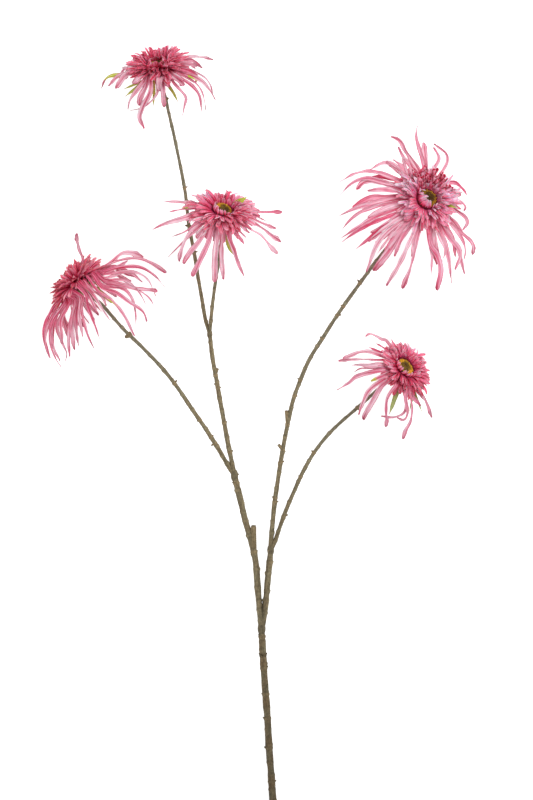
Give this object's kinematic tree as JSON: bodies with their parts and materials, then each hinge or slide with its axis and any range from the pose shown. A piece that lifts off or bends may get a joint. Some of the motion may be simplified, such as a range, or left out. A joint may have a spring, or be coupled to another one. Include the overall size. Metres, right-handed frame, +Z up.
{
  "type": "spider chrysanthemum",
  "caption": "Cut spray of spider chrysanthemum lying down: branched woody stem, open pink heads of long drooping ray petals round dense crowns, olive discs and green bracts.",
  "frame": {"origin": "bottom centre of the whole spray's box, on the surface that it lies on", "axes": "+Y from the cut end of the stem towards the heads, +Z up from the surface, so the spray is looked down on"},
  "size_m": [0.4302, 0.8002, 0.1049],
  "materials": {
    "woody_stem": "matt khaki-brown bark with paler worn patches",
    "ray_petal": "soft pink with fine lengthwise ribs, rose towards root and tip",
    "crown_petal": "deep raspberry pink, crimson in the recesses, paler at the tips",
    "disc_floret": "olive brown velvet with a yellow rim",
    "green_bract": "yellow green with a paler midrib and brownish tips"
  },
  "bodies": {
    "root": {"stem": "woody_stem", "rays_1": "ray_petal", "crown_1": "crown_petal", "disc_1": "disc_floret", "calyx_1": "green_bract", "rays_2": "ray_petal", "crown_2": "crown_petal", "disc_2": "disc_floret", "calyx_2": "green_bract", "rays_3": "ray_petal", "crown_3": "crown_petal", "disc_3": "disc_floret", "calyx_3": "green_bract", "rays_4": "ray_petal", "crown_4": "crown_petal", "disc_4": "disc_floret", "calyx_4": "green_bract", "rays_5": "ray_petal", "crown_5": "crown_petal", "disc_5": "disc_floret", "calyx_5": "green_bract"}
  },
  "joints": []
}
